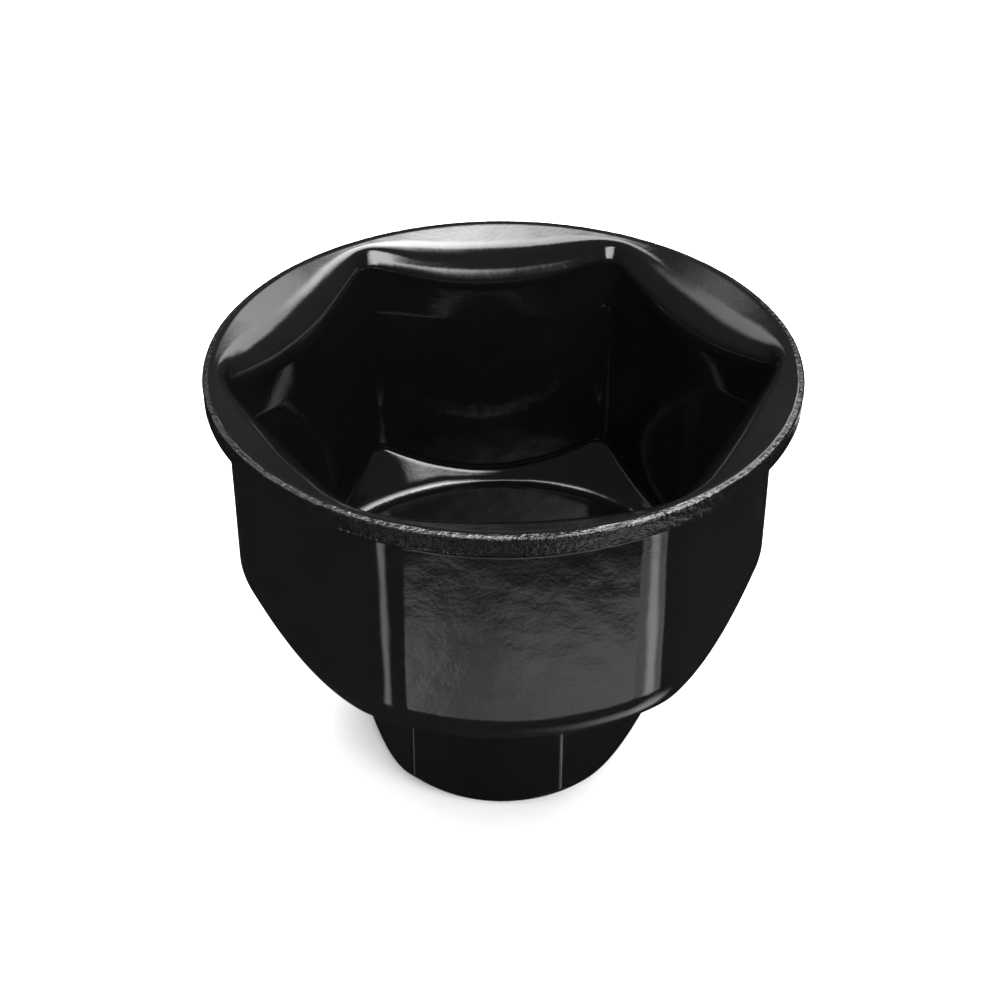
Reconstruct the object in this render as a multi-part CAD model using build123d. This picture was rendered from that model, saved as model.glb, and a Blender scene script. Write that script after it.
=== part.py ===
"""Cap-type oil filter wrench: a pressed steel cup with a six-sided socket and a hexagonal boss under it.

Frame: millimetres, +Z up along the axis of the tool. The origin is the centre of the boss's lower face,
which the wrench stands on with the mouth of the cup upwards. Two corners of the cup's hexagon lie on
the X axis, and two of its flats are square to the Y axis.
"""
from build123d import *
from math import cos, radians, tan
import os

OVERALL_HEIGHT = 38.0

# Cup
SOCKET_ACROSS_FLATS = 36.4      # turns a 36 mm filter cap
WALL = 1.55                     # thickness of the pressed steel
CORNER_OUTSIDE_RADIUS = 5.2     # upright corners of the hexagon
CORNER_INSIDE_RADIUS = 2.0      # the punch was sharper than the die
RIM_RADIUS = 23.6
LIP_WIDTH = 0.3                 # level ring along the edge of the rim
FLARE_SLOPE = 36.0              # degrees below level, from the lip down to the walls
FLARE_INSIDE_RADIUS = 2.4       # bend between flare and walls, on the mouth side
FLARE_OUTSIDE_RADIUS = 0.6
FLARE_DEPTH = 7.6               # the whole flare lies within this of the top

# Underside of the cup, where a cone takes off the lower corners of the hexagon
CUP_BASE = 12.7
CONE_SLOPE = 43.0               # degrees
CONE_BASE_RADIUS = 16.5         # where the cone, drawn on, meets the underside
SKIRT_RADIUS = 4.6              # bend between walls and cone
FLOOR_EDGE_RADIUS = 5.7         # bend between cone and floor

# Inside of the cup, below: here too the punch was sharper, so the sheet is thinner at the bend
CAVITY_FLOOR = 14.0
CAVITY_CONE_SLOPE = 48.0
CAVITY_CONE_BASE_RADIUS = 17.3
CAVITY_SKIRT_RADIUS = 1.2
CAVITY_FLOOR_EDGE_RADIUS = 1.8

# Boss, with a spigot that stands up through the floor of the cup
BOSS_ACROSS_FLATS = 22.0
BOSS_TURN = -10.5               # degrees from the cup's hexagon, as the boss was welded on
BOSS_CORNER_RADIUS = 0.45
BOSS_SHOULDER_ROUND = 0.4
FOOT_RADIUS = 10.5              # round foot left where the lower corners are turned away
FOOT_CONE_HEIGHT = 2.8
FOOT_EDGE_RADIUS = 1.3
SPIGOT_RADIUS = 7.4
SPIGOT_GAP = 0.05
SPIGOT_STAND = 1.0              # above the inside of the floor

# Square drive hole, 3/8 inch
DRIVE_ACROSS_FLATS = 9.6
DRIVE_CORNER_RADIUS = 0.4
DRIVE_DEPTH = 12.0
LEAD_IN_SLOPE = 40.0            # degrees, of the countersink that eases the square in
PILOT_RADIUS = 4.7              # drilled right through before the square was broached
DETENT_RADIUS = 1.7             # recess in each side of the square for the ball of a ratchet
DETENT_DEPTH = 0.8
DETENT_HEIGHT = 5.6

# Fillet weld between the spigot and the inside of the floor
BEAD_WIDTH = 1.6
BEAD_HEIGHT = 0.9
BEAD_BULGE = 0.22

NEAR = 0.1                      # slack when edges are picked by their place

SPIGOT_TOP = CAVITY_FLOOR + SPIGOT_STAND
FLOOR_HOLE_RADIUS = SPIGOT_RADIUS + SPIGOT_GAP


def hexagon_prism(across_flats, corner_radius, bottom, top, turn=0.0):
    """An upright hexagonal prism with rounded corners, two of them on the X axis before the turn."""
    outline = RegularPolygon(across_flats / 2, 6, major_radius=False)
    outline = fillet(outline.vertices(), corner_radius)
    return Pos(0, 0, bottom) * Rot(0, 0, turn) * extrude(outline, top - bottom)


def turned(*outline):
    """A solid of revolution about the Z axis, from a closed outline of (radius, height) points."""
    return revolve(Plane.XZ * make_face(Polyline(*outline, close=True)), Axis.Z)


def hexagon_bowl(across_flats, corner_radius, base, cone_radius, cone_slope, skirt_radius, edge_radius):
    """Hexagonal prism whose lower corners are taken off by a cone, with both bends below rounded."""
    rise = (RIM_RADIUS - cone_radius) * tan(radians(cone_slope))
    walls = hexagon_prism(across_flats, corner_radius, base, OVERALL_HEIGHT)
    cone = turned(
        (0, base),
        (cone_radius, base),
        (RIM_RADIUS, base + rise),
        (RIM_RADIUS, OVERALL_HEIGHT),
        (0, OVERALL_HEIGHT),
    )
    bowl = walls & cone
    boxes = [(edge, edge.bounding_box()) for edge in bowl.edges()]
    skirt = [edge for edge, box in boxes if box.min.Z > base + NEAR and box.max.Z < base + rise]
    bowl = fillet(skirt, skirt_radius)
    return fillet(bowl.edges().group_by(Axis.Z)[0], edge_radius)


def flare_cone(radius, height, top):
    """The space above a cone that falls inwards at the slope of the flare from a radius and a height."""
    inner_radius = SOCKET_ACROSS_FLATS / 2 - WALL
    inner_height = height - (radius - inner_radius) * tan(radians(FLARE_SLOPE))
    return turned(
        (0, inner_height),
        (inner_radius, inner_height),
        (radius, height),
        (radius, top),
        (0, top),
    )


def bend_edges(solid):
    """The ring of edges where the flare meets the six walls and their rounded corners."""
    lowest = OVERALL_HEIGHT - FLARE_DEPTH
    highest = OVERALL_HEIGHT - WALL / 2
    apothem = SOCKET_ACROSS_FLATS / 2
    chosen = []
    for edge in solid.edges():
        box = edge.bounding_box()
        middle = edge @ 0.5
        reach = (middle.X**2 + middle.Y**2) ** 0.5
        inside_rim = apothem - NEAR < reach < RIM_RADIUS - LIP_WIDTH - NEAR
        if inside_rim and box.min.Z > lowest and box.max.Z < highest:
            chosen.append(edge)
    return chosen


def cup():
    """Pressed shell: round flared rim, six walls, coned lower corners and a floor with a round hole."""
    outside = hexagon_bowl(
        SOCKET_ACROSS_FLATS + 2 * WALL,
        CORNER_OUTSIDE_RADIUS,
        CUP_BASE,
        CONE_BASE_RADIUS,
        CONE_SLOPE,
        SKIRT_RADIUS,
        FLOOR_EDGE_RADIUS,
    )
    cavity = hexagon_bowl(
        SOCKET_ACROSS_FLATS,
        CORNER_INSIDE_RADIUS,
        CAVITY_FLOOR,
        CAVITY_CONE_BASE_RADIUS,
        CAVITY_CONE_SLOPE,
        CAVITY_SKIRT_RADIUS,
        CAVITY_FLOOR_EDGE_RADIUS,
    )
    slope = radians(FLARE_SLOPE)
    rim_edge = WALL / cos(slope) - LIP_WIDTH * tan(slope)
    outside = outside + flare_cone(RIM_RADIUS, OVERALL_HEIGHT - rim_edge, OVERALL_HEIGHT)
    outside = fillet(bend_edges(outside), FLARE_OUTSIDE_RADIUS)
    cavity = cavity + flare_cone(RIM_RADIUS - LIP_WIDTH, OVERALL_HEIGHT, OVERALL_HEIGHT + WALL)
    cavity = fillet(bend_edges(cavity), FLARE_INSIDE_RADIUS)
    hole = Pos(0, 0, CUP_BASE) * Cylinder(FLOOR_HOLE_RADIUS, 2 * CUP_BASE)
    return outside - cavity - hole


def drive_hole():
    """What is cut for the drive: the square, its lead-in, four ball recesses and the pilot hole."""
    outline = fillet(Rectangle(DRIVE_ACROSS_FLATS, DRIVE_ACROSS_FLATS).vertices(), DRIVE_CORNER_RADIUS)
    square = extrude(outline, DRIVE_DEPTH)
    pilot = Cylinder(PILOT_RADIUS, 2 * OVERALL_HEIGHT)
    mouth_radius = DRIVE_ACROSS_FLATS / 2 * 2**0.5
    lead_in = turned((0, 0), (mouth_radius, 0), (0, mouth_radius * tan(radians(LEAD_IN_SLOPE))))
    recess_at = DRIVE_ACROSS_FLATS / 2 + DETENT_DEPTH - DETENT_RADIUS
    recess = Pos(recess_at, 0, DETENT_HEIGHT) * Rot(0, 90, 0) * Sphere(DETENT_RADIUS)
    recesses = [Rot(0, 0, 90 * side) * recess for side in range(4)]
    return [Rot(0, 0, BOSS_TURN) * cutter for cutter in (square, pilot, lead_in, *recesses)]


def drive_boss():
    """Hexagonal boss with a round spigot on top and a square drive hole in its lower face."""
    widest = BOSS_ACROSS_FLATS
    blank = turned(
        (0, 0),
        (FOOT_RADIUS, 0),
        (BOSS_ACROSS_FLATS / 2 / cos(radians(30)), FOOT_CONE_HEIGHT),
        (widest, FOOT_CONE_HEIGHT),
        (widest, CUP_BASE),
        (0, CUP_BASE),
    )
    blank = fillet(blank.edges().group_by(Axis.Z)[0], FOOT_EDGE_RADIUS)
    boss = blank & hexagon_prism(BOSS_ACROSS_FLATS, BOSS_CORNER_RADIUS, 0, CUP_BASE, BOSS_TURN)
    boss = chamfer(boss.edges().group_by(Axis.Z)[-1], BOSS_SHOULDER_ROUND)
    spigot = turned((0, CUP_BASE), (SPIGOT_RADIUS, CUP_BASE), (SPIGOT_RADIUS, SPIGOT_TOP), (0, SPIGOT_TOP))
    boss = boss + spigot
    for cutter in drive_hole():
        boss = boss - cutter
    return boss


def weld_bead():
    """Ring of weld that fills the corner between the spigot and the floor of the cup."""
    low = (FLOOR_HOLE_RADIUS + BEAD_WIDTH, CAVITY_FLOOR)
    high = (FLOOR_HOLE_RADIUS, CAVITY_FLOOR + BEAD_HEIGHT)
    crown = ((low[0] + high[0]) / 2 + BEAD_BULGE, (low[1] + high[1]) / 2 + BEAD_BULGE)
    corner = (FLOOR_HOLE_RADIUS, CAVITY_FLOOR)
    section = make_face([ThreePointArc(low, crown, high), Line(high, corner), Line(corner, low)])
    return revolve(Plane.XZ * section, Axis.Z)


def single_solid(shape):
    """The one solid that a shape holds."""
    solids = shape.solids()
    assert len(solids) == 1
    return solids[0]


os.makedirs("parts", exist_ok=True)
for name, make in (("cup", cup), ("drive_boss", drive_boss), ("weld_bead", weld_bead)):
    piece = single_solid(make())
    box = piece.bounding_box()
    print(name, piece.is_valid, round(piece.volume, 1), [round(v, 2) for v in (*box.min, *box.max)])
    export_step(piece, f"parts/{name}.step")
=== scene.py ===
from math import atan, cos, degrees, exp, pi, radians, sin, sqrt, tan

import bpy
import numpy as np
from mathutils import Matrix, Vector


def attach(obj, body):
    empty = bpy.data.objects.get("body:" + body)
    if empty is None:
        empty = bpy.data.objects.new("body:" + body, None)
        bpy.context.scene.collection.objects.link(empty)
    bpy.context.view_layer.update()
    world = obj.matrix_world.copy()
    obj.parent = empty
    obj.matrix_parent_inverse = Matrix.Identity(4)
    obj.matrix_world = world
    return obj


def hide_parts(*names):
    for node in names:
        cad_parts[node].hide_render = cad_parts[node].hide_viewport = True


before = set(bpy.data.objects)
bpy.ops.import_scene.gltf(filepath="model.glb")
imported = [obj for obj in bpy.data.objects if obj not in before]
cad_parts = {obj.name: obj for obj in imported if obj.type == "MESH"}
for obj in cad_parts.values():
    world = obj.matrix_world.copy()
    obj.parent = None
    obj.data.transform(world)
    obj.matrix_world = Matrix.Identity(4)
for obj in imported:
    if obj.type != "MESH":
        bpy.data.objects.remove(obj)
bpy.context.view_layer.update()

# The cup and the weld are rebuilt here as meshes that replace their CAD nodes. The boss keeps its CAD mesh.

MM = 0.001
GAP = 0.02 * MM                 # between the floor and the boss that stands on it

# Camera: metres and degrees, but for the lens and sensor
CAMERA_SWING = 3.85             # that the camera stands round from square to the front flat
CAMERA_BACK = 0.1327            # from the axis
CAMERA_RISE = 0.0815            # above the rim
CAMERA_PITCH = 35.65            # below level
CAMERA_PAN = 0.10
CAMERA_ROLL = 0.19
LENS_MM = 71.0
SENSOR_MM = 36.0
NEAREST = 0.01

# Cup, in millimetres. The walls, cone, floor and outline of the rim are as in the solid model. The flare,
# the socket's upper corners, the lip and the bend of the inside floor differ, for the sake of reflections.
SOCKET_APOTHEM = 18.2
WALL = 1.55
CORNER_RADIUS = 5.2
RIM_RADIUS = 23.6
RIM_TOP = 38.0
LIP_WIDTH = 0.65                # ring along the edge of the rim, drawn down a little by the shear
LIP_RADIUS = 0.65
EDGE_BREAK = 0.12               # bevel above the sheared edge face, and round below it
EDGE_DROP = 0.12                # of the lip, from the top of the rim
EDGE_HEIGHT = 1.6               # from the top of the rim to where its edge face ends
FLARE_SLOPE = radians(36)
KNEE_RADIUS = 20.0              # where the flare bends down towards the walls
KNEE_FALL = 1.1                 # from the top of the rim
KNEE_ROUND = 4.0
BEND_HEIGHT = 34.9              # where the flare meets the middle of a wall
BEND_RADIUS = 3.0
FLARE_OUTSIDE_RADIUS = 0.6
INSIDE_CORNER_RADIUS = 2.0      # the punch had sharper corners than the die

# How the upper part differs at the corners, where the flare is narrow and steep
CORNER_SPREAD = 13.5            # degrees from a corner where the change is down to about a third
CORNER_OPENING = 0.75
CORNER_RISE = 1.3               # of the bend
CORNER_KNEE_SHIFT = 2.1
CORNER_KNEE_RISE = 0.77
CORNER_BEND_CUT = 0.9
OPENING_DEPTH = 4.0             # below the bend, where a corner starts to open
OPENING_RADIUS = 4.0
WALL_LEAN = 0.01                # keeps the bend there from being straight, which has no centre

# Lower part of the cup, outside and inside
CUP_BASE = 12.7
CONE_SLOPE = radians(43)
CONE_BASE_RADIUS = 16.5
SKIRT_RADIUS = 4.6
FLOOR_EDGE_RADIUS = 5.7
CAVITY_FLOOR = 14.0
CAVITY_CONE_SLOPE = radians(48)
CAVITY_CONE_BASE_RADIUS = 17.3
CAVITY_SKIRT_RADIUS = 1.2
CAVITY_FLOOR_EDGE_RADIUS = 2.4
FLOOR_HOLE = 7.45

# Weld
WELD_WIDTH = 1.6
WELD_HEIGHT = 0.9
WELD_FULLNESS = 0.8             # power of the cosine and sine of its section: less is squarer
WELD_RIPPLES = 34
RIPPLE_DEPTH = 0.13             # share of the weld's size
RIPPLE_UNEVEN = 0.35            # share of a ripple's length
WELD_SWELL = 0.06               # slow changes of its size along the ring
WELD_TURNS = 720
WELD_CROWN_STEPS = 14
WELD_SIDE_STEPS = 3
WELD_FOOT_STEPS = 3

# Steel that is not quite true, in millimetres
WAVINESS = 0.02                 # slow dents in the walls
QUICK_SHARE = 0.3               # of the waviness, for the quicker dents
FLAT_BASE = 1.0                 # the dents start this far above the underside
LIP_ROUGHNESS = 0.02
SHEAR_MARK = 0.012              # upright scratches on the rim's edge face
TORN_GRAIN = 0.05
TORN_STEP = 0.1                 # between the clean cut above and the torn metal below
TORN_FROM = 0.45                # share of the way down the edge face
TORN_WANDER = 0.25
EDGE_CUT = 0.03                 # all over, so that nothing stands proud of the rim
BURR_WAVE = 0.05
BURR_MARK = 0.02
BURR_AT = 0.93                  # share of the way down the edge face
BURR_SPAN = 0.1

# Steps of the cup's mesh
FLAT_STEPS = 48
CORNER_STEPS = 42
EDGE_STEPS = 12
BREAK_STEPS = 3
LIP_STEPS = 6
LARGEST_CUT = 0.49              # share of a straight part that a bend at its end may take

# Paint: scales in features per metre, depths in metres
PAINT_DARK = (0.0015, 0.0015, 0.0017, 1)
PAINT_LIGHT = (0.004, 0.004, 0.0042, 1)
TINT_SCALE = 220
GLOSS_SCALE = 90
NOISE_RANGE = (0.3, 0.7)        # where most of a noise lies
GLOSS_RANGE = (0.7, 1.4)        # times a paint's roughness
WAVE_SCALE = 350
WAVE_DEPTH = 0.000025
PEEL_SCALE = 2600
GROOVE_SCALE = 2400
GROOVE_LENGTH = 16              # how many times longer than wide a groove on the rim's edge is
GROOVE_DEPTH = 0.00009
TORN_SCALE = 2600
TORN_DEPTH = 0.00014

# Floor, in metres
FLOOR_HALF = 3.0
PAPER_SCALE = 900
PAPER_DARK = (0.94, 0.94, 0.94, 1)
PAPER_LIGHT = (0.97, 0.97, 0.97, 1)
PAPER_ROUGHNESS = 0.9


def half_flat(apothem, corner_radius):
    """Angle from the middle of a flat of a hexagon to where its rounded corner starts."""
    return atan((apothem - corner_radius) * tan(pi / 6) / apothem)


def angle_from_corner(angle):
    """Angle to the nearest corner of a hexagon that has two of its corners at 0 and 180 degrees."""
    return abs((angle + pi / 6) % (pi / 3) - pi / 6)


def azimuths():
    """Angles round the cup, in radians, closer together where the corners of the hexagon turn."""
    flat = 2 * half_flat(SOCKET_APOTHEM + WALL, CORNER_RADIUS)
    steps = []
    for side in range(6):
        corner_start = side * pi / 3 - pi / 6 + flat / 2
        corner_end = side * pi / 3 + pi / 6 - flat / 2
        steps.extend(np.linspace(corner_start, corner_end, CORNER_STEPS, endpoint=False))
        steps.extend(np.linspace(corner_end, corner_end + flat, FLAT_STEPS, endpoint=False))
    return np.array(steps)


def hexagon_reach(angle, apothem, corner_radius):
    """Distance from the axis to a hexagon with rounded corners, two of them at 0 and 180 degrees."""
    from_corner = angle_from_corner(angle)
    from_flat = pi / 6 - from_corner
    if from_flat <= half_flat(apothem, corner_radius):
        return apothem / cos(from_flat)
    centre = (apothem - corner_radius) / cos(pi / 6)
    across = centre * sin(from_corner)
    return centre * cos(from_corner) + sqrt(corner_radius**2 - across**2)


def spread(count, closed):
    """Steps from 0 to 1, closer together near both ends, so that shading stays flat up to a bend."""
    return (1 - np.cos(np.linspace(0, pi, count, endpoint=closed))) / 2


def rounded(points, radii, straight_steps, arc_steps):
    """Points along a (radius, height) polyline with its inner corners rounded, always the same number."""
    points = [np.array(point, float) for point in points]
    start = points[0]
    out = []
    corners = zip(points, points[1:], points[2:], radii, straight_steps, arc_steps)
    for before, here, after, radius, straights, arcs in corners:
        to_before = (before - here) / np.linalg.norm(before - here)
        to_after = (after - here) / np.linalg.norm(after - here)
        half = np.arccos(np.clip(to_before @ to_after, -1, 1)) / 2
        room = LARGEST_CUT * min(np.linalg.norm(before - here), np.linalg.norm(after - here))
        cut = min(radius / tan(half), room)
        radius = cut * tan(half)
        bisector = (to_before + to_after) / np.linalg.norm(to_before + to_after)
        centre = here + bisector * (radius / sin(half))
        first, last = here + to_before * cut, here + to_after * cut
        out.extend(start + (first - start) * step for step in spread(straights, False))
        first_bearing = np.arctan2(*(first - centre)[::-1])
        last_bearing = np.arctan2(*(last - centre)[::-1])
        turn = (last_bearing - first_bearing + pi) % (2 * pi) - pi
        for step in np.linspace(0, 1, arcs, endpoint=False):
            bearing = first_bearing + turn * step
            out.append(centre + radius * np.array((cos(bearing), sin(bearing))))
        start = last
    out.extend(start + (points[-1] - start) * step for step in spread(straight_steps[-1], True))
    return np.array(out)


def inside_section(angle):
    """The cup's mouth side from the floor hole to the lip, at one azimuth."""
    corner = exp(-((degrees(angle_from_corner(angle)) / CORNER_SPREAD) ** 2))
    wall = hexagon_reach(angle, SOCKET_APOTHEM, INSIDE_CORNER_RADIUS)
    bend_height = BEND_HEIGHT + CORNER_RISE * corner
    skirt_height = CAVITY_FLOOR + (wall - CAVITY_CONE_BASE_RADIUS) * tan(CAVITY_CONE_SLOPE)
    return rounded(
        [
            (FLOOR_HOLE, CAVITY_FLOOR),
            (CAVITY_CONE_BASE_RADIUS, CAVITY_FLOOR),
            (wall, skirt_height),
            (wall - WALL_LEAN, bend_height - OPENING_DEPTH),
            (wall + CORNER_OPENING * corner, bend_height),
            (KNEE_RADIUS + CORNER_KNEE_SHIFT * corner, RIM_TOP - KNEE_FALL + CORNER_KNEE_RISE * corner),
            (RIM_RADIUS - LIP_WIDTH, RIM_TOP),
            (RIM_RADIUS - EDGE_BREAK, RIM_TOP - EDGE_DROP),
        ],
        [
            CAVITY_FLOOR_EDGE_RADIUS,
            CAVITY_SKIRT_RADIUS,
            OPENING_RADIUS,
            BEND_RADIUS - CORNER_BEND_CUT * corner,
            KNEE_ROUND,
            LIP_RADIUS,
        ],
        straight_steps=[8, 4, 16, 6, 4, 5, LIP_STEPS],
        arc_steps=[8, 6, 5, 14, 12, 4],
    )


def outside_section(angle):
    """The cup's outside from the edge of the rim to the floor hole, at one azimuth."""
    wall = hexagon_reach(angle, SOCKET_APOTHEM + WALL, CORNER_RADIUS)
    edge_low = RIM_TOP - EDGE_HEIGHT
    return rounded(
        [
            (RIM_RADIUS, RIM_TOP - EDGE_DROP - EDGE_BREAK),
            (RIM_RADIUS, edge_low),
            (wall, edge_low - (RIM_RADIUS - wall) * tan(FLARE_SLOPE)),
            (wall, CUP_BASE + (wall - CONE_BASE_RADIUS) * tan(CONE_SLOPE)),
            (CONE_BASE_RADIUS, CUP_BASE),
            (FLOOR_HOLE, CUP_BASE),
        ],
        [EDGE_BREAK, FLARE_OUTSIDE_RADIUS, SKIRT_RADIUS, FLOOR_EDGE_RADIUS],
        straight_steps=[EDGE_STEPS, 6, 20, 6, 5],
        arc_steps=[BREAK_STEPS, 6, 14, 10],
    )


def ring_noise(count, waves, seed):
    """A closed ring of noise between about -1 and 1, made of the given numbers of waves round it."""
    rng = np.random.default_rng(seed)
    phases = rng.uniform(0, 2 * pi, len(waves))
    sizes = rng.uniform(0.4, 1.0, len(waves))
    turn = np.linspace(0, 2 * pi, count, endpoint=False)
    total = sum(size * np.sin(wave * turn + phase) for wave, size, phase in zip(waves, sizes, phases))
    return total / sizes.sum()


def turned_rings(angles, radius, height):
    """Points in metres, from the radius and height in millimetres of each section round the axis."""
    across, along = radius * np.cos(angles)[:, None], radius * np.sin(angles)[:, None]
    return np.stack([across, along, height], axis=-1) * MM


def grid_object(name, rings):
    """A closed mesh from rings of points: the first index runs round Z, the second round the section.

    Its faces look outwards where the section runs clockwise, seen with its radius to the right.
    """
    turns, stations, _ = rings.shape
    index = np.arange(turns * stations).reshape(turns, stations)
    next_turn = np.roll(index, -1, axis=0)
    next_station = np.roll(index, -1, axis=1)
    both = np.roll(next_turn, -1, axis=1)
    faces = np.stack([index, next_station, both, next_turn], axis=-1).reshape(-1, 4)
    mesh = bpy.data.meshes.new(name)
    mesh.from_pydata(rings.reshape(-1, 3).tolist(), [], faces.tolist())
    mesh.shade_smooth()
    piece = bpy.data.objects.new(name, mesh)
    bpy.context.scene.collection.objects.link(piece)
    return piece


def waviness(height):
    """Dents of a few hundredths of a millimetre, in millimetres, the same on both sides of the sheet."""
    turns = len(height)
    level = (height - CUP_BASE) / (RIM_TOP - CUP_BASE)
    slow = ring_noise(turns, waves=(4, 5, 9, 14, 22), seed=31)[:, None] * np.cos(2 * pi * level + 0.6)
    quick = ring_noise(turns, waves=(17, 26, 37, 45), seed=33)[:, None] * np.cos(6 * pi * level + 1.9)
    return WAVINESS * (slow + QUICK_SHARE * quick)


def roughen_rim(radius, height, inside_count):
    """Shear marks, torn patches and a small burr on the lip and edge face of the rim, in place."""
    turns = len(radius)
    rng = np.random.default_rng(11)
    torn = 0.5 + 0.5 * ring_noise(turns, waves=(2, 3, 5, 8, 13, 21), seed=3)[:, None]
    lip = rng.normal(0, 1, (turns, LIP_STEPS))
    lip = np.abs(0.5 * lip + 0.3 * np.roll(lip, 1, axis=0) + 0.2 * np.roll(lip, 1, axis=1))
    height[:, inside_count - LIP_STEPS : inside_count] -= LIP_ROUGHNESS * lip

    edge = slice(inside_count, inside_count + EDGE_STEPS + BREAK_STEPS)
    depth = np.linspace(0, 1, EDGE_STEPS + BREAK_STEPS)
    marks = rng.normal(0, 1, turns)
    marks = 0.6 * marks + 0.4 * np.roll(marks, 1)
    grain = rng.normal(0, 1, (turns, EDGE_STEPS + BREAK_STEPS))
    grain = 0.5 * grain + 0.25 * np.roll(grain, 1, axis=1) + 0.25 * np.roll(grain, 2, axis=1)
    faded = np.sin(pi * np.clip(depth, 0.02, 0.98)) ** 0.5
    cut = (SHEAR_MARK * marks[:, None] + TORN_GRAIN * torn * grain) * faded
    tear_line = TORN_FROM + TORN_WANDER * ring_noise(turns, waves=(4, 7, 11, 17, 29), seed=5)[:, None]
    step = TORN_STEP * torn * (depth > tear_line)
    radius[:, edge] -= np.clip(cut + step + EDGE_CUT, 0, None) * faded

    wave = BURR_WAVE * ring_noise(turns, waves=(3, 7, 19, 31, 53, 71, 97), seed=9) + BURR_MARK * marks
    burr = np.exp(-(((depth - BURR_AT) / BURR_SPAN) ** 2))
    height[:, edge] -= np.abs(wave)[:, None] * burr


def make_cup():
    """The pressed shell, with a sheared edge round its rim and walls that are not quite flat."""
    angles = azimuths()
    inside = np.array([inside_section(angle) for angle in angles])
    outside = np.array([outside_section(angle) for angle in angles])
    radius, height = np.moveaxis(np.concatenate([inside, outside], axis=1), -1, 0)
    inside_count = inside.shape[1]
    radius += waviness(height) * (height > CUP_BASE + FLAT_BASE)
    roughen_rim(radius, height, inside_count)
    shell = grid_object("cup_shell", turned_rings(angles, radius, height))
    station = np.tile(np.arange(height.shape[1]), len(angles))
    on_edge = (station >= inside_count - LIP_STEPS) & (station < inside_count + EDGE_STEPS + 1)
    shell.data.polygons.foreach_set("material_index", on_edge.astype(np.int32))
    return shell


def make_weld():
    """A ring of weld laid in short overlapping ripples round the spigot."""
    angles = np.linspace(0, 2 * pi, WELD_TURNS, endpoint=False)
    uneven = RIPPLE_UNEVEN * ring_noise(WELD_TURNS, waves=(3, 5, 8), seed=23)
    phase = (angles * WELD_RIPPLES / (2 * pi) + uneven) % 1.0
    swell = 1 - RIPPLE_DEPTH + RIPPLE_DEPTH * np.sqrt(phase)
    swell += WELD_SWELL * ring_noise(WELD_TURNS, waves=(2, 3, 5, 9), seed=21)
    size = np.minimum(swell, 1.0)[:, None]

    # The section, as shares of the width and height: the crown, down the spigot's side, out along the floor
    crown = np.linspace(0, pi / 2, WELD_CROWN_STEPS)
    side = np.linspace(1, 0, WELD_SIDE_STEPS + 1)[1:]
    foot = np.linspace(0, 1, WELD_FOOT_STEPS + 2)[1:-1]
    out = np.concatenate([np.cos(crown) ** WELD_FULLNESS, np.zeros_like(side), foot])
    up = np.concatenate([np.sin(crown) ** WELD_FULLNESS, side, np.zeros_like(foot)])
    radius = FLOOR_HOLE + WELD_WIDTH * size * out
    height = CAVITY_FLOOR + WELD_HEIGHT * size * up
    rings = turned_rings(angles, radius, height)
    return grid_object("weld_ring", rings[::-1])    # reversed, because the section runs anticlockwise


def node_material(name):
    """A new material and its node tree's main parts."""
    material = bpy.data.materials.new(name)
    material.use_nodes = True
    tree = material.node_tree
    return material, tree, tree.nodes["Principled BSDF"]


def noise(nodes, links, vector, scale, detail):
    """The value of a fractal noise at a vector, with features of about 1 / scale metres."""
    texture = nodes.new("ShaderNodeTexNoise")
    texture.inputs["Scale"].default_value = scale
    texture.inputs["Detail"].default_value = detail
    links.new(vector, texture.inputs["Vector"])
    return texture.outputs["Fac"]


def bumped(nodes, links, height, depth, below=None):
    """A normal bumped by a height, of a depth in metres, on top of another normal where there is one."""
    bump = nodes.new("ShaderNodeBump")
    bump.inputs["Distance"].default_value = depth
    links.new(height, bump.inputs["Height"])
    if below is not None:
        links.new(below, bump.inputs["Normal"])
    return bump.outputs["Normal"]


def calculated(nodes, links, operation, *values):
    """The result of a maths node on sockets and numbers."""
    node = nodes.new("ShaderNodeMath")
    node.operation = operation
    for socket, value in zip(node.inputs, values):
        if isinstance(value, float):
            socket.default_value = value
        else:
            links.new(value, socket)
    return node.outputs["Value"]


def torn_steel(nodes, links, place, below):
    """A normal with grooves that run round the rim, broken up by torn grain, on top of another normal."""
    split = nodes.new("ShaderNodeSeparateXYZ")
    links.new(place, split.inputs["Vector"])
    level = nodes.new("ShaderNodeCombineXYZ")
    links.new(split.outputs["X"], level.inputs["X"])
    links.new(split.outputs["Y"], level.inputs["Y"])
    reach = nodes.new("ShaderNodeVectorMath")
    reach.operation = "LENGTH"
    links.new(level.outputs["Vector"], reach.inputs[0])
    turn = calculated(nodes, links, "ARCTAN2", split.outputs["Y"], split.outputs["X"])
    unrolled = nodes.new("ShaderNodeCombineXYZ")
    along = calculated(nodes, links, "MULTIPLY", turn, RIM_RADIUS * MM / GROOVE_LENGTH)
    links.new(along, unrolled.inputs["X"])
    links.new(reach.outputs["Value"], unrolled.inputs["Y"])
    links.new(split.outputs["Z"], unrolled.inputs["Z"])
    groove = noise(nodes, links, unrolled.outputs["Vector"], GROOVE_SCALE, detail=2)
    grooves = bumped(nodes, links, groove, GROOVE_DEPTH, below)
    return bumped(nodes, links, noise(nodes, links, place, TORN_SCALE, detail=3), TORN_DEPTH, grooves)


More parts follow.
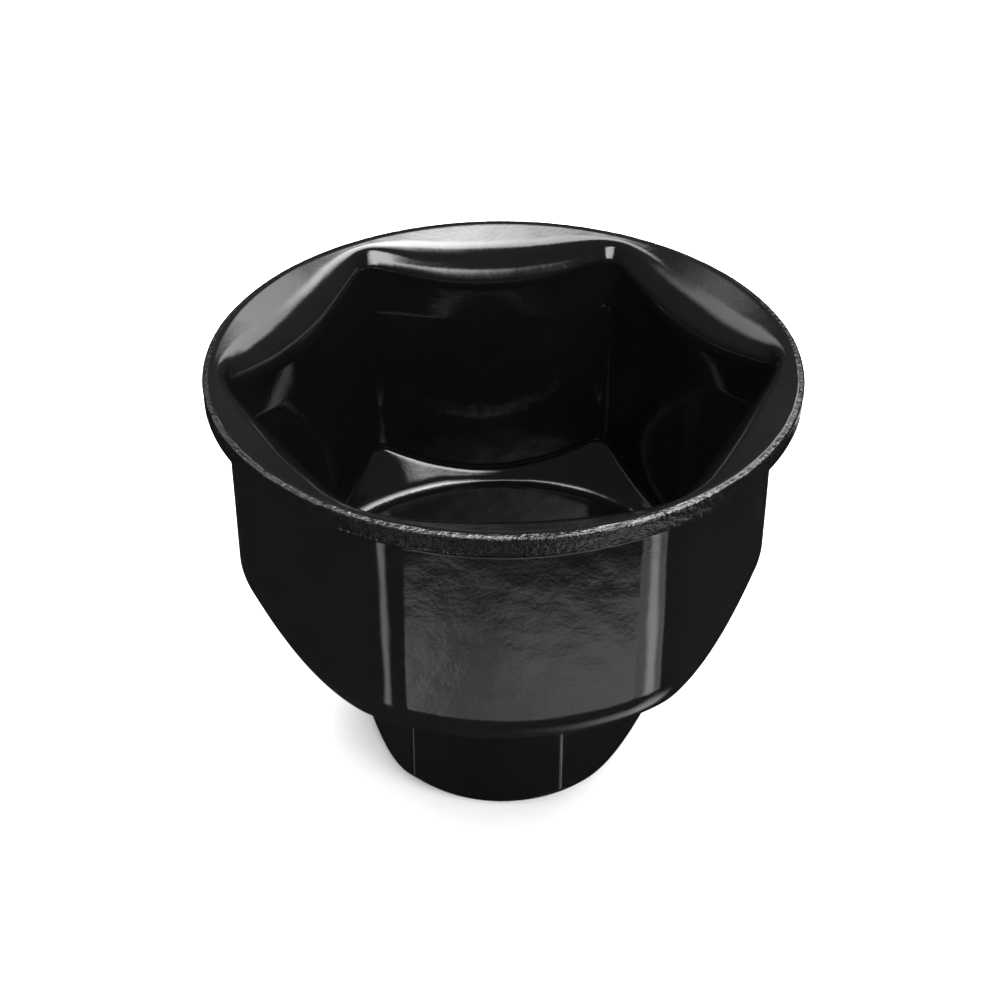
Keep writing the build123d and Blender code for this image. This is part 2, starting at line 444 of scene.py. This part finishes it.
def gloss_black(name, roughness, peel_depth, torn=False):
    """Sprayed gloss black paint: orange peel over a slow wave, and slow changes of tint and gloss."""
    material, tree, shader = node_material(name)
    nodes, links = tree.nodes, tree.links
    place = nodes.new("ShaderNodeTexCoord").outputs["Object"]
    colours = nodes.new("ShaderNodeValToRGB")
    colours.color_ramp.elements[0].color = PAINT_DARK
    colours.color_ramp.elements[1].color = PAINT_LIGHT
    links.new(noise(nodes, links, place, TINT_SCALE, detail=4), colours.inputs["Fac"])
    links.new(colours.outputs["Color"], shader.inputs["Base Color"])
    gloss = nodes.new("ShaderNodeMapRange")
    gloss.inputs["From Min"].default_value = NOISE_RANGE[0]
    gloss.inputs["From Max"].default_value = NOISE_RANGE[1]
    gloss.inputs["To Min"].default_value = roughness * GLOSS_RANGE[0]
    gloss.inputs["To Max"].default_value = roughness * GLOSS_RANGE[1]
    links.new(noise(nodes, links, place, GLOSS_SCALE, detail=5), gloss.inputs["Value"])
    links.new(gloss.outputs["Result"], shader.inputs["Roughness"])
    normal = bumped(nodes, links, noise(nodes, links, place, WAVE_SCALE, detail=1), WAVE_DEPTH)
    normal = bumped(nodes, links, noise(nodes, links, place, PEEL_SCALE, detail=2), peel_depth, normal)
    if torn:
        normal = torn_steel(nodes, links, place, normal)
    links.new(normal, shader.inputs["Normal"])
    return material


def make_camera():
    """A short telephoto looking down into the cup."""
    data = bpy.data.cameras.new("camera")
    data.lens = LENS_MM
    data.sensor_width = SENSOR_MM
    data.clip_start = NEAREST
    camera = bpy.data.objects.new("camera", data)
    swing = Matrix.Rotation(radians(-CAMERA_SWING), 4, "Z")
    place = Matrix.Translation((0, -CAMERA_BACK, CAMERA_RISE + RIM_TOP * MM))
    aim = (
        Matrix.Rotation(radians(CAMERA_PAN), 4, "Z")
        @ Matrix.Rotation(radians(90 - CAMERA_PITCH), 4, "X")
        @ Matrix.Rotation(radians(CAMERA_ROLL), 4, "Z")
    )
    camera.matrix_world = swing @ place @ aim
    bpy.context.scene.collection.objects.link(camera)
    bpy.context.scene.camera = camera


def studio_direction(azimuth, elevation):
    """Unit vector to a place round the object: azimuth 0 is the camera's side and grows to its right."""
    turn, up = radians(azimuth - CAMERA_SWING), radians(elevation)
    return (sin(turn) * cos(up), -cos(turn) * cos(up), sin(up))


PANELS = [
    # azimuth, elevation, half width, half height, half width of the soft edge (all in degrees), brightness
    # Softboxes above, all round
    (120, 66, 16, 16, 8, 13.0),
    (180, 78, 20, 12, 4, 10.0),
    (146, 39, 13, 12, 3, 4.2),
    (-136, 40, 14, 12, 6, 2.4),
    (30, 32, 16, 14, 5, 12.0),
    (-32, 20, 12, 4, 3, 11.0),
    # Cards below the horizon, most of them for the front flat and its corners
    (3.6, -41.3, 1.3, 3.0, 0.7, 1.5),
    (6.6, -41.2, 1.2, 2.8, 0.9, 0.5),
    (14.3, -42.2, 4.8, 3.4, 1.5, 1.4),
    (44, -40.8, 18, 4, 0.8, 1.1),
    (46, -38, 6, 6, 4, 2.6),
    (-33, -37, 4, 8, 3, 2.2),
    (85, -66, 12, 12, 8, 1.5),
    # Cards to the side and behind
    (105, 7, 10, 2, 2, 0.8),
    (172, -29, 14, 6, 3, 2.0),
]
PANEL_FRONT = 0.02              # a panel is seen only from this far in front of the centre, as a cosine
SKY_BRIGHTNESS = 0.13
GROUND_BRIGHTNESS = 0.02
HORIZON = (-0.05, 0.4)          # heights between which the ground fades to the sky


def share_along(nodes, links, direction, axis):
    """How much of a direction lies along an axis."""
    along = nodes.new("ShaderNodeVectorMath")
    along.operation = "DOT_PRODUCT"
    along.inputs[1].default_value = axis
    links.new(direction, along.inputs[0])
    return along.outputs["Value"]


def smooth_range(nodes, links, value, start, end, low=0.0, high=1.0):
    """A value turned smoothly from low, where it is start, to high, where it is end."""
    smooth = nodes.new("ShaderNodeMapRange")
    smooth.interpolation_type = "SMOOTHSTEP"
    smooth.inputs["From Min"].default_value = start
    smooth.inputs["From Max"].default_value = end
    smooth.inputs["To Min"].default_value = low
    smooth.inputs["To Max"].default_value = high
    links.new(value, smooth.inputs["Value"])
    return smooth.outputs["Result"]


def panel_light(nodes, links, direction, azimuth, elevation, half_width, half_height, soft, brightness):
    """The brightness of one rectangular softbox or card, as seen along a direction."""
    centre = Vector(studio_direction(azimuth, elevation))
    across = centre.cross((0, 0, 1)).normalized()
    upward = across.cross(centre)
    light = float(brightness)
    for axis, half in ((across, half_width), (upward, half_height)):
        away = calculated(nodes, links, "ABSOLUTE", share_along(nodes, links, direction, axis))
        outer, inner = sin(radians(half + soft)), sin(radians(max(half - soft, 0)))
        light = calculated(nodes, links, "MULTIPLY", light, smooth_range(nodes, links, away, outer, inner))
    ahead = share_along(nodes, links, direction, centre)
    in_front = smooth_range(nodes, links, ahead, 0.0, PANEL_FRONT)
    return calculated(nodes, links, "MULTIPLY", light, in_front)


def make_world():
    """Soft studio light all round: a few softboxes and reflecting cards on a dim surround."""
    world = bpy.data.worlds.new("studio")
    world.use_nodes = True
    nodes, links = world.node_tree.nodes, world.node_tree.links
    direction = nodes.new("ShaderNodeTexCoord").outputs["Generated"]
    split = nodes.new("ShaderNodeSeparateXYZ")
    links.new(direction, split.inputs["Vector"])
    total = smooth_range(nodes, links, split.outputs["Z"], *HORIZON, GROUND_BRIGHTNESS, SKY_BRIGHTNESS)
    for panel in PANELS:
        total = calculated(nodes, links, "ADD", total, panel_light(nodes, links, direction, *panel))
    links.new(total, nodes["Background"].inputs["Strength"])
    nodes["Background"].inputs["Color"].default_value = (1, 1, 1, 1)
    bpy.context.scene.world = world


def make_floor():
    """A pale paper floor, kept out of the reflections, which the studio's own cards make."""
    mesh = bpy.data.meshes.new("floor")
    signs = ((-1, -1), (1, -1), (1, 1), (-1, 1))
    corners = [(x * FLOOR_HALF, y * FLOOR_HALF, -GAP) for x, y in signs]
    mesh.from_pydata(corners, [], [(0, 1, 2, 3)])
    floor = bpy.data.objects.new("floor", mesh)
    bpy.context.scene.collection.objects.link(floor)
    material, tree, shader = node_material("floor_paper")
    grain = tree.nodes.new("ShaderNodeTexNoise")
    grain.inputs["Scale"].default_value = PAPER_SCALE
    shade = tree.nodes.new("ShaderNodeValToRGB")
    shade.color_ramp.elements[0].color = PAPER_DARK
    shade.color_ramp.elements[1].color = PAPER_LIGHT
    tree.links.new(grain.outputs["Fac"], shade.inputs["Fac"])
    tree.links.new(shade.outputs["Color"], shader.inputs["Base Color"])
    shader.inputs["Roughness"].default_value = PAPER_ROUGHNESS
    mesh.materials.append(material)
    floor.visible_glossy = False


FILL_SIZE = 0.8                 # metres across, a metre away
FILL_LIGHTS = [
    # azimuth, elevation, power in watts
    (-60, 60, 5.0),
    (60, 60, 5.0),
    (180, 60, 5.0),
]


def make_fill():
    """Three large soft lights that whiten the floor all round, kept out of the reflections."""
    for azimuth, elevation, power in FILL_LIGHTS:
        data = bpy.data.lights.new("fill", "AREA")
        data.shape = "DISK"
        data.size = FILL_SIZE
        data.energy = power
        light = bpy.data.objects.new("fill", data)
        towards = Vector(studio_direction(azimuth, elevation))
        light.location = towards
        light.rotation_euler = towards.to_track_quat("Z", "Y").to_euler()
        light.visible_glossy = False
        bpy.context.scene.collection.objects.link(light)


make_camera()
make_world()
make_floor()
make_fill()
bpy.context.scene.view_settings.view_transform = "Standard"

cup_paint = gloss_black("cup_paint_looks", roughness=0.09, peel_depth=0.0000045)
edge_paint = gloss_black("rim_edge_looks", roughness=0.10, peel_depth=0.000005, torn=True)
boss_paint = gloss_black("boss_paint_looks", roughness=0.10, peel_depth=0.000004)
weld_paint = gloss_black("weld_paint_looks", roughness=0.12, peel_depth=0.00001)

shell = make_cup()
shell.data.materials.append(cup_paint)
shell.data.materials.append(edge_paint)
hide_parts("cup")
weld = make_weld()
weld.data.materials.append(weld_paint)
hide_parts("weld_bead")
for piece in (shell, weld):
    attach(piece, "root")
for holder in bpy.data.objects["drive_boss"].material_slots:
    holder.material = boss_paint
